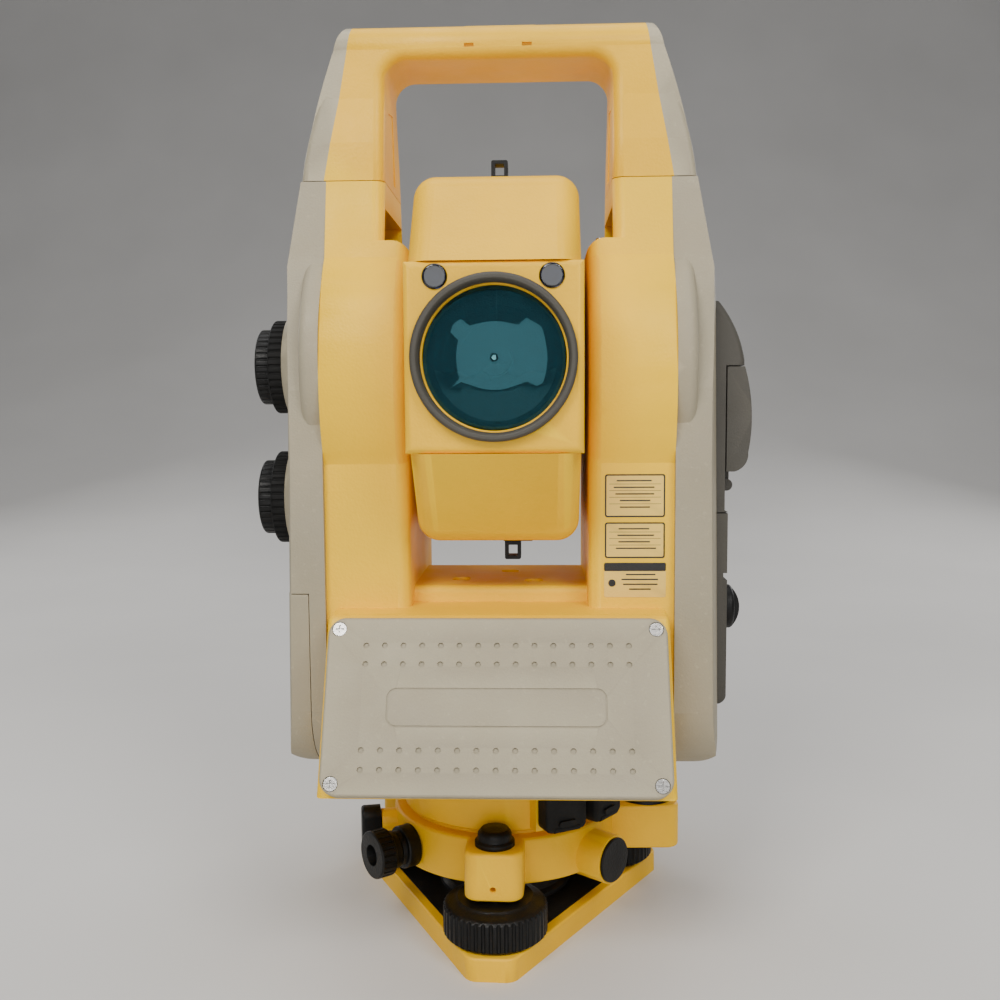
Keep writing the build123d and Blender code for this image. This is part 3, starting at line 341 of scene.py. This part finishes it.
def area_light(name, place, target, size, power, colour=WHITE):
    data = bpy.data.lights.new(name, "AREA")
    data.shape = "RECTANGLE"
    data.size, data.size_y = size
    data.energy = power
    data.color = colour
    light = placed(name, data)
    light.location = place
    aim = Vector(target) - Vector(place)
    light.rotation_euler = aim.to_track_quat("-Z", "Y").to_euler()


def make_lights():
    """Two soft lamps in front, a weak fill, an overhead panel and two lamps behind."""
    world = bpy.data.worlds.new("studio")
    world.use_nodes = True
    background = world.node_tree.nodes["Background"]
    background.inputs["Color"].default_value = SKY
    background.inputs["Strength"].default_value = SKY_STRENGTH
    bpy.context.scene.world = world
    area_light("key_left", (-0.42, -0.95, 1.10), MIDDLE, (0.5, 0.5), power=12, colour=WARM)
    area_light("key_right", (0.55, -0.85, 1.0), MIDDLE, (0.5, 0.5), power=8, colour=FAINTLY_WARM)
    area_light("front_fill", (0.0, -1.5, 0.35), LOW_MIDDLE, (0.9, 0.6), power=5)
    area_light("top_soft", (0.0, 0.2, 1.6), LOW_MIDDLE, (1.2, 0.9), power=10)
    area_light("back_left", (-0.9, 0.95, 0.7), MIDDLE, (0.6, 0.6), power=4)
    area_light("back_right", (0.9, 1.0, 0.6), MIDDLE, (0.6, 0.6), power=4)


CAMERA_PLACE = (0.0171, -0.4757, 0.226)
CAMERA_PITCH, CAMERA_YAW, CAMERA_ROLL = 5.15, 2.2, -0.4
FOCAL_LENGTH, SENSOR_WIDTH, NEAR_CLIP = 38.34, 36, 0.01


def make_camera():
    data = bpy.data.cameras.new("camera")
    data.sensor_width = SENSOR_WIDTH
    data.lens = FOCAL_LENGTH
    data.clip_start = NEAR_CLIP
    camera = placed("camera", data)
    camera.location = CAMERA_PLACE
    yaw = Matrix.Rotation(math.radians(CAMERA_YAW), 4, "Z")
    pitch = Matrix.Rotation(math.radians(90 - CAMERA_PITCH), 4, "X")
    roll = Matrix.Rotation(math.radians(CAMERA_ROLL), 4, "Z")
    camera.rotation_euler = (yaw @ pitch @ roll).to_euler()
    bpy.context.scene.camera = camera


# ---------------------------------------------------------------- thin applied pieces
CORNER_STEPS = 5
EDGE_IN, EDGE_DOWN = 0.06, 0.03
LEAST_RADIUS = 0.01
DARK, LIGHT = 0, 1


def rounded_outline(width, height, radius):
    """Points of a rounded rectangle about the origin."""
    points = []
    for sx, sy, start in ((1, 1, 0), (-1, 1, 90), (-1, -1, 180), (1, -1, 270)):
        middle_x, middle_y = sx * (width / 2 - radius), sy * (height / 2 - radius)
        for k in range(CORNER_STEPS + 1):
            a = math.radians(start + 90 * k / CORNER_STEPS)
            points.append((middle_x + radius * math.cos(a), middle_y + radius * math.sin(a)))
    return points


class Applied:
    """A thin piece made of rounded flat shapes, laid out in millimetres on one plane."""

    def __init__(self, name, body, plane, *materials):
        self.name, self.body, self.plane = name, body, plane
        self.mesh = bpy.data.meshes.new(name)
        for material in materials:
            self.mesh.materials.append(material)
        self.work = bmesh.new()

    def ring(self, centre, outline, height):
        x, y = centre
        points = [Vector(((x + a) * MM, (y + b) * MM, height * MM)) for a, b in outline]
        return [self.work.verts.new(self.plane @ point) for point in points]

    def shape(self, centre, size, radius, layer, material=DARK):
        """A rounded rectangle with its sides, from the layer's low to its high above the plane."""
        width, height = size
        low, high = layer
        radius = min(radius, width / 2.01, height / 2.01)
        outer = rounded_outline(width, height, radius)
        inner_radius = max(radius - EDGE_IN, LEAST_RADIUS)
        inner = rounded_outline(width - 2 * EDGE_IN, height - 2 * EDGE_IN, inner_radius)
        lower = self.ring(centre, outer, low)
        upper = self.ring(centre, outer, high - EDGE_DOWN)
        top = self.ring(centre, inner, high)
        faces = [self.work.faces.new(top), self.work.faces.new(lower[::-1])]
        for k in range(len(outer)):
            after = (k + 1) % len(outer)
            for below, above in ((lower, upper), (upper, top)):
                corners = (below[k], below[after], above[after], above[k])
                faces.append(self.work.faces.new(corners))
        for face in faces:
            face.material_index = material

    def done(self):
        self.work.to_mesh(self.mesh)
        self.work.free()
        piece = placed(self.name, self.mesh)
        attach(piece, self.body)


def facing(origin, across, outward):
    """The plane at a point, in millimetres, with its x across and its z outward."""
    z = Vector(outward).normalized()
    x = Vector(across).normalized()
    turn = Matrix((x, z.cross(x), z)).transposed().to_4x4()
    return Matrix.Translation(Vector(origin) * MM) @ turn


# ---------------------------------------------------------------- plates on the right standard
Plate = namedtuple("Plate", "name x z width height rows banner")
PLATES = (
    Plate("upper_plate", x=55.1, z=188.8, width=24.2, height=17.4, rows=5, banner=False),
    Plate("middle_plate", x=55.1, z=170.7, width=24.2, height=14.6, rows=4, banner=False),
    Plate("lower_plate", x=55.2, z=154.4, width=25.0, height=14.2, rows=4, banner=True),
)
STANDARD_FACE = 46.0
BACKING_LAYER, FACE_LAYER = (-0.05, 0.14), (0.0, 0.2)
PRINT_LAYER, RULE_LAYER = (0.1, 0.24), (0.1, 0.23)
RIM = 0.6
BANNER_HEIGHT = 3.4
ROW_HEIGHT, RULE_HEIGHT = 0.55, 0.16
ROW_MARGIN, RULE_MARGIN, BOTTOM_MARGIN = 5, 3.4, 1.4
DISC_ACROSS, DISC_IN, DISC_DOWN = 3.0, 3.2, 1.2
DISC_SHIFT, DISC_ROOM = 2.4, 4.6


def plate_ground(sheet, plate):
    """A pale plate with a dark banner across its top, or with a dark rim."""
    width, height = plate.width, plate.height
    if plate.banner:
        sheet.shape((0, 0), (width, height), 0.8, BACKING_LAYER, LIGHT)
        banner_middle = (0, height / 2 - BANNER_HEIGHT / 2)
        sheet.shape(banner_middle, (width, BANNER_HEIGHT), 0.6, FACE_LAYER)
    else:
        sheet.shape((0, 0), (width, height), 1.0, BACKING_LAYER)
        sheet.shape((0, 0), (width - 2 * RIM, height - 2 * RIM), 0.6, FACE_LAYER, LIGHT)


def plate_rows(sheet, plate):
    """Bars of uneven length in place of print, with fine rules between them on a rimmed plate."""
    top = plate.height / 2 - (4.8 if plate.banner else 2.6)
    pitch = (top + plate.height / 2 - BOTTOM_MARGIN) / plate.rows
    shift, room = (DISC_SHIFT, DISC_ROOM) if plate.banner else (0, 0)
    for k in range(plate.rows):
        length = (plate.width - ROW_MARGIN) * random.uniform(0.62, 0.98) - room
        middle = (random.uniform(-0.5, 0.5) + shift, top - k * pitch)
        sheet.shape(middle, (length, ROW_HEIGHT), 0.2, PRINT_LAYER)
        if not plate.banner and k < plate.rows - 1:
            rule = (plate.width - RULE_MARGIN, RULE_HEIGHT)
            sheet.shape((0, top - (k + 0.5) * pitch), rule, 0.05, RULE_LAYER)


def make_plates():
    """Three plain plates, one above the other."""
    for plate in PLATES:
        place = facing((plate.x, -STANDARD_FACE, plate.z), (1, 0, 0), (0, -1, 0))
        sheet = Applied(plate.name, "alidade", place, DARK_INK, LABEL_FILM)
        plate_ground(sheet, plate)
        plate_rows(sheet, plate)
        if plate.banner:
            middle = (-plate.width / 2 + DISC_IN, -DISC_DOWN)
            sheet.shape(middle, (DISC_ACROSS, DISC_ACROSS), 1.4, PRINT_LAYER)
        sheet.done()


# ---------------------------------------------------------------- display and keys
PANEL_LEAN, PANEL_Y, PANEL_Z = math.radians(25.3), 81.0, 112.3
PANEL_OUTWARD = (0, math.cos(PANEL_LEAN), math.sin(PANEL_LEAN))
BACK_PANEL = facing((0, PANEL_Y, PANEL_Z), (-1, 0, 0), PANEL_OUTWARD)

READOUT_LAYER, KEY_LAYER = (-0.42, -0.36), (1.3, 1.46)
READOUT_ROWS, READOUT_TOP, READOUT_PITCH = 5, 11.5, 5.6
READOUT_HEIGHT, MARK_HEIGHT, MARK_RADIUS = 1.3, 0.7, 0.3

Bar = namedtuple("Bar", "up length")
UPPER_BAR, MIDDLE_BAR, LOWER_BAR = Bar(1.7, 2.4), Bar(0.3, 4.2), Bar(-1.2, 3.0)
KEY_MARKS = {
    "power": (MIDDLE_BAR, UPPER_BAR),
    "menu": (MIDDLE_BAR, UPPER_BAR, LOWER_BAR),
    "escape": (MIDDLE_BAR,),
    "enter": (MIDDLE_BAR, LOWER_BAR),
}


def middle_on_panel(node):
    """Where the middle of a node lies on the back panel, in millimetres across and up."""
    low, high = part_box(node)
    middle = BACK_PANEL.inverted() @ ((Vector(low) + Vector(high)) / 2)
    return middle.x / MM, middle.y / MM


def make_readout():
    """A menu of bars on the display, in three columns."""
    x, y = middle_on_panel("display_window")
    readout = Applied("display_readout", "alidade", BACK_PANEL, PALE_INK)
    for row in range(READOUT_ROWS):
        up = y + READOUT_TOP - row * READOUT_PITCH
        name_column = (x - 17, 9)
        value_column = (x - 1 + random.uniform(-1, 1), random.uniform(12, 19))
        unit_column = (x + 18, 4.6)
        for across, length in (name_column, value_column, unit_column):
            readout.shape((across, up), (length, READOUT_HEIGHT), MARK_RADIUS, READOUT_LAYER)
    readout.done()


def make_key_marks():
    for key, bars in KEY_MARKS.items():
        x, y = middle_on_panel(key + "_key")
        mark = Applied(key + "_key_mark", key + "_button", BACK_PANEL, PALE_INK)
        for bar in bars:
            mark.shape((x, y + bar.up), (bar.length, MARK_HEIGHT), MARK_RADIUS, KEY_LAYER)
        mark.done()


# ---------------------------------------------------------------- small turned pieces
TURNED_SIDES = 32
BUBBLE_PROFILE = (
    (-0.9, 0.4), (-0.8, 1.6), (-0.5, 2.6), (0.0, 3.0), (0.4, 2.6), (0.65, 1.6), (0.7, 0.4)
)
BUBBLE_SHIFT = Vector((0.7, -0.4, -1.6))
SCREW_PROFILE = ((-0.6, 1.7), (0.5, 1.7), (0.8, 1.4), (0.9, 0.9), (0.5, 0.8), (0.45, 0.2))
SCREW_PLACE = (42.0, -27.0, 293.1)


def turned(name, body, place, profile, material):
    """A round upright piece: a profile of (height, radius) in millimetres spun at a place."""
    where = Matrix.Translation(Vector(place) * MM)
    angles = [2 * math.pi * k / TURNED_SIDES for k in range(TURNED_SIDES)]
    work = bmesh.new()
    rings = []
    for up, radius in profile:
        points = [Vector((radius * math.cos(a), radius * math.sin(a), up)) * MM for a in angles]
        rings.append([work.verts.new(where @ point) for point in points])
    for first, second in zip(rings, rings[1:]):
        for k in range(TURNED_SIDES):
            after = (k + 1) % TURNED_SIDES
            work.faces.new((first[k], first[after], second[after], second[k]))
    work.faces.new(rings[0][::-1])
    work.faces.new(rings[-1])
    mesh = bpy.data.meshes.new(name)
    work.to_mesh(mesh)
    work.free()
    for face in mesh.polygons:
        face.use_smooth = len(face.vertices) == 4
    mesh.materials.append(material)
    piece = placed(name, mesh)
    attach(piece, body)


def make_small_pieces():
    """The bubble in the circular vial and a screw on the right standard's shoulder."""
    low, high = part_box("circular_vial_glass")
    top_middle = Vector(((low[0] + high[0]) / 2, (low[1] + high[1]) / 2, high[2])) / MM
    turned("vial_bubble", "tribrach", top_middle + BUBBLE_SHIFT, BUBBLE_PROFILE, BUBBLE)
    turned("shoulder_screw", "alidade", SCREW_PLACE, SCREW_PROFILE, BRIGHT_SCREW)


make_camera()
make_floor()
make_lights()
dress_cad_nodes()
make_plates()
make_readout()
make_key_marks()
make_small_pieces()
